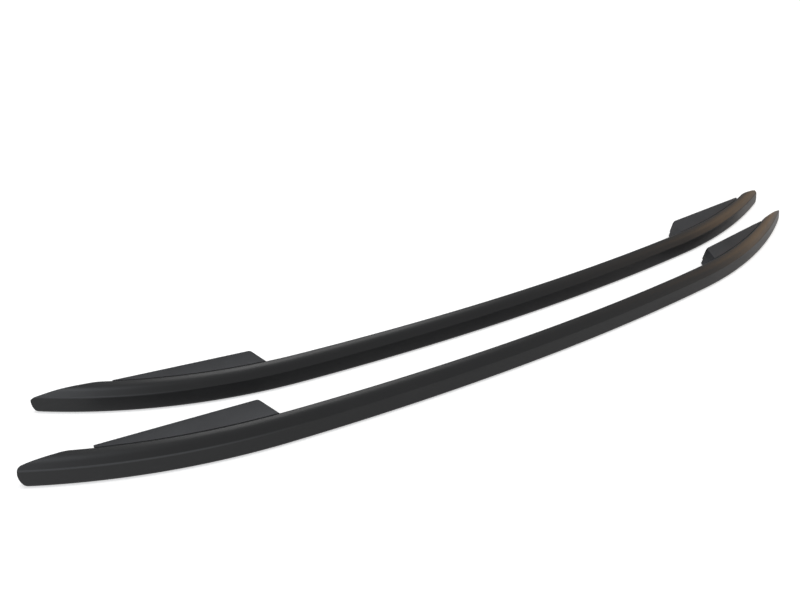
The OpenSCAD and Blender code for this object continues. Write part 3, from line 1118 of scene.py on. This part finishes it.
@dataclass
class Feet:
    """The four moulded feet, as softened copies of their solids."""

    finish: bpy.types.Material
    edge: float = 0.9 * MM
    merge: float = 0.005 * MM
    flat: float = math.radians(0.4)
    sharp: float = math.radians(28)
    face_play: float = 0.05 * MM
    segments: int = 4

    def build(self) -> list[bpy.types.Object]:
        """Makes and dresses the feet.

        Returns:
            The four pieces.
        """
        made = []
        for side in Side:
            for end in ("rear", "front"):
                node = f"{side.value}_{end}_foot"
                piece = self.soften(node)
                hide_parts(node)
                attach(piece, BODY)
                made.append(piece)
        return made

    def soften(self, node: str) -> bpy.types.Object:
        """Copies a solid and rounds the edges of its two side faces.

        Args:
            node: Name of the CAD node.

        Returns:
            The finished piece.
        """
        source = frame["nodes"][node]
        shape = bmesh.new()
        shape.from_mesh(source.data)
        bmesh.ops.remove_doubles(shape, verts=shape.verts, dist=self.merge)
        bmesh.ops.dissolve_limit(shape, angle_limit=self.flat, verts=shape.verts, edges=shape.edges)
        low, high = (Vector(v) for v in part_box(node))
        weight = shape.edges.layers.float.new("bevel_weight_edge")
        for edge in shape.edges:
            ends = [v.co.z for v in edge.verts]
            outer = any(all(abs(z - level) < self.face_play for z in ends) for level in (low.z, high.z))
            if outer and len(edge.link_faces) == 2 and edge.calc_face_angle(0) > self.sharp:
                edge[weight] = 1.0
        mesh = bpy.data.meshes.new(node + "_moulding")
        shape.to_mesh(mesh)
        shape.free()
        piece = link(node + "_moulding", mesh)
        mesh.materials.append(self.finish)
        bevel = piece.modifiers.new("soft_edges", "BEVEL")
        bevel.limit_method = "WEIGHT"
        bevel.width = self.edge
        bevel.segments = self.segments
        ready = piece.evaluated_get(bpy.context.evaluated_depsgraph_get())
        final = bpy.data.meshes.new_from_object(ready)
        piece.modifiers.clear()
        piece.data = final
        bpy.data.meshes.remove(mesh)
        final.shade_smooth()
        final.set_sharp_from_angle(angle=self.sharp)
        return piece


@dataclass
class SmallParts:
    """Gaskets, plugs, inserts and clamp parts: their solids are right and only need a finish."""

    finishes: dict[str, bpy.types.Material]

    def build(self) -> list[bpy.types.Object]:
        """Dresses the nodes.

        Returns:
            The dressed objects.
        """
        made = []
        for name, thing in frame["nodes"].items():
            kind = next((k for k in self.finishes if name.endswith(k)), None)
            if kind is None:
                continue
            for slot in thing.material_slots:
                slot.material = self.finishes[kind]
            made.append(thing)
        return made


# Studio


@dataclass(frozen=True)
class Softbox:
    """A soft rectangular lamp."""

    name: str
    place: tuple[float, float, float]
    aim: tuple[float, float, float]
    size: Point2
    power: float
    colour: Colour = (1.0, 1.0, 1.0)

    def build(self) -> None:
        """Adds the lamp."""
        lamp = bpy.data.lights.new(self.name, "AREA")
        lamp.shape = "RECTANGLE"
        lamp.size, lamp.size_y = self.size
        lamp.energy = self.power
        lamp.color = self.colour
        thing = link(self.name, lamp)
        towards = Vector(self.aim) - Vector(self.place)
        turn = towards.to_track_quat("-Z", "Y").to_matrix().to_4x4()
        thing.matrix_world = Matrix.Translation(self.place) @ turn


@dataclass
class Studio:
    """Pale floor, soft lamps, white surroundings and the camera."""

    camera_place: tuple[float, float, float] = (-0.642789, -0.68107, 0.7633)
    camera_right: tuple[float, float, float] = (0.879315, -0.474926, 0.035351)
    camera_up: tuple[float, float, float] = (0.276944, 0.570319, 0.773329)
    lens: float = 26.783
    sensor: float = 36.0
    floor_size: float = 30.0
    floor_colour: Colour = (0.8, 0.8, 0.8)
    floor_roughness: float = 0.9
    floor_specular: float = 0.1
    floor_glow: Point2 = (0.48, 0.8)
    glow_distance: Point2 = (1.2, 4.0)
    world_light: float = 0.42
    world_seen: float = 1.0
    lamps: Sequence[Softbox] = field(default_factory=lambda: (
        Softbox("overhead", (0.05, 0.5, 2.6), (0.0, 0.0, 0.0), (2.2, 1.6), 33.0),
        Softbox("right_card", (2.8, -0.3, 0.7), (0.4, 0.0, 0.0), (1.3, 1.3), 5.0, (1.0, 0.58, 0.24)),
        Softbox("left_card", (-2.4, -0.5, 1.3), (-0.8, -0.1, 0.0), (1.2, 1.2), 9.0, (0.9, 0.94, 1.0)),
    ))

    def build(self) -> None:
        """Builds the whole studio."""
        self.floor()
        self.world()
        for lamp in self.lamps:
            lamp.build()
        self.camera()

    def floor(self) -> None:
        """Lays the floor under the rails."""
        half = self.floor_size / 2
        mesh = bpy.data.meshes.new("studio_floor")
        corners = [(x * half, y * half, 0) for x, y in ((-1, -1), (1, -1), (1, 1), (-1, 1))]
        mesh.from_pydata(corners, [], [(0, 1, 2, 3)])
        floor = link("studio_floor", mesh)
        shader, surface, material = new_material("studio_floor")
        surface.inputs["Base Color"].default_value = (*self.floor_colour, 1)
        surface.inputs["Roughness"].default_value = self.floor_roughness
        surface.inputs["Specular IOR Level"].default_value = self.floor_specular
        ray = shader.add("ShaderNodeLightPath").outputs["Is Camera Ray"]
        place = shader.add("ShaderNodeTexCoord").outputs["Object"]
        distance = shader.add("ShaderNodeVectorMath", {0: place}, operation="LENGTH").outputs["Value"]
        lift = shader.stretch(distance, *zip(self.glow_distance, self.floor_glow))
        glow = shader.add("ShaderNodeEmission", {"Strength": shader.maths("MULTIPLY", ray, lift)})
        both = shader.add("ShaderNodeAddShader", {0: surface.outputs[0], 1: glow.outputs[0]})
        leave = material.node_tree.nodes["Material Output"]
        shader.nodes.links.new(both.outputs[0], leave.inputs["Surface"])
        mesh.materials.append(material)

    def world(self) -> None:
        """Sets the white surroundings."""
        world = bpy.data.worlds.new("white_studio")
        bpy.context.scene.world = world
        world.use_nodes = True
        shader = Shader(world.node_tree)
        back = world.node_tree.nodes["Background"]
        back.inputs["Color"].default_value = (1, 1, 1, 1)
        ray = shader.add("ShaderNodeLightPath").outputs["Is Camera Ray"]
        strength = shader.stretch(ray, (0.0, self.world_light), (1.0, self.world_seen))
        shader.nodes.links.new(strength, back.inputs["Strength"])

    def camera(self) -> None:
        """Places the camera at the photograph's viewing angle."""
        camera = bpy.data.cameras.new("camera")
        camera.lens = self.lens
        camera.sensor_width = self.sensor
        camera.sensor_fit = "HORIZONTAL"
        right, up = Vector(self.camera_right).normalized(), Vector(self.camera_up).normalized()
        back = right.cross(up)
        turn = Matrix((right, up, back)).transposed().to_4x4()
        thing = link("camera", camera)
        thing.matrix_world = Matrix.Translation(self.camera_place) @ turn
        bpy.context.scene.camera = thing


def main() -> None:
    """Builds the pair and its studio in order."""
    logging.basicConfig(level=logging.INFO, format="%(name)s: %(message)s")
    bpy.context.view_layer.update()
    bpy.context.scene.view_settings.view_transform = "Standard"
    effects = build_effects()
    arch = Arch()
    layout = Layout(arch, Bars.cut_drop[End.FRONT.value])
    satin = SatinBar(Bars.crease).build(effects)
    foot = Moulding("grained_foot", colour=(0.03, 0.0315, 0.035), roughness=0.55)
    foam = Moulding(
        "foam_rubber", colour=(0.018, 0.018, 0.019), roughness=0.85, pitch=1800.0, grain=0.08 * MM)
    plug = Moulding(
        "smooth_plug", colour=(0.022, 0.0225, 0.024), roughness=0.48, pitch=2200.0, grain=0.01 * MM)
    brass = Turned("turned_brass", colour=(0.68, 0.5, 0.22), roughness=0.28)
    steel = Turned("zinc_plated", colour=(0.58, 0.59, 0.6), roughness=0.32).build(effects)
    pieces = Bars(arch, layout, satin).build()
    pieces += Feet(foot.build(effects)).build()
    pieces += SmallParts({
        "gasket": foam.build(effects),
        "plug": plug.build(effects),
        "inserts": brass.build(effects),
        "clamp_screws": steel,
        "clamp_washers": steel,
        "nut_plates": steel,
    }).build()
    for piece in pieces:
        LOG.info("%s: %d faces", piece.name, len(piece.data.polygons))
    Studio().build()


if __name__ == "__main__":
    main()
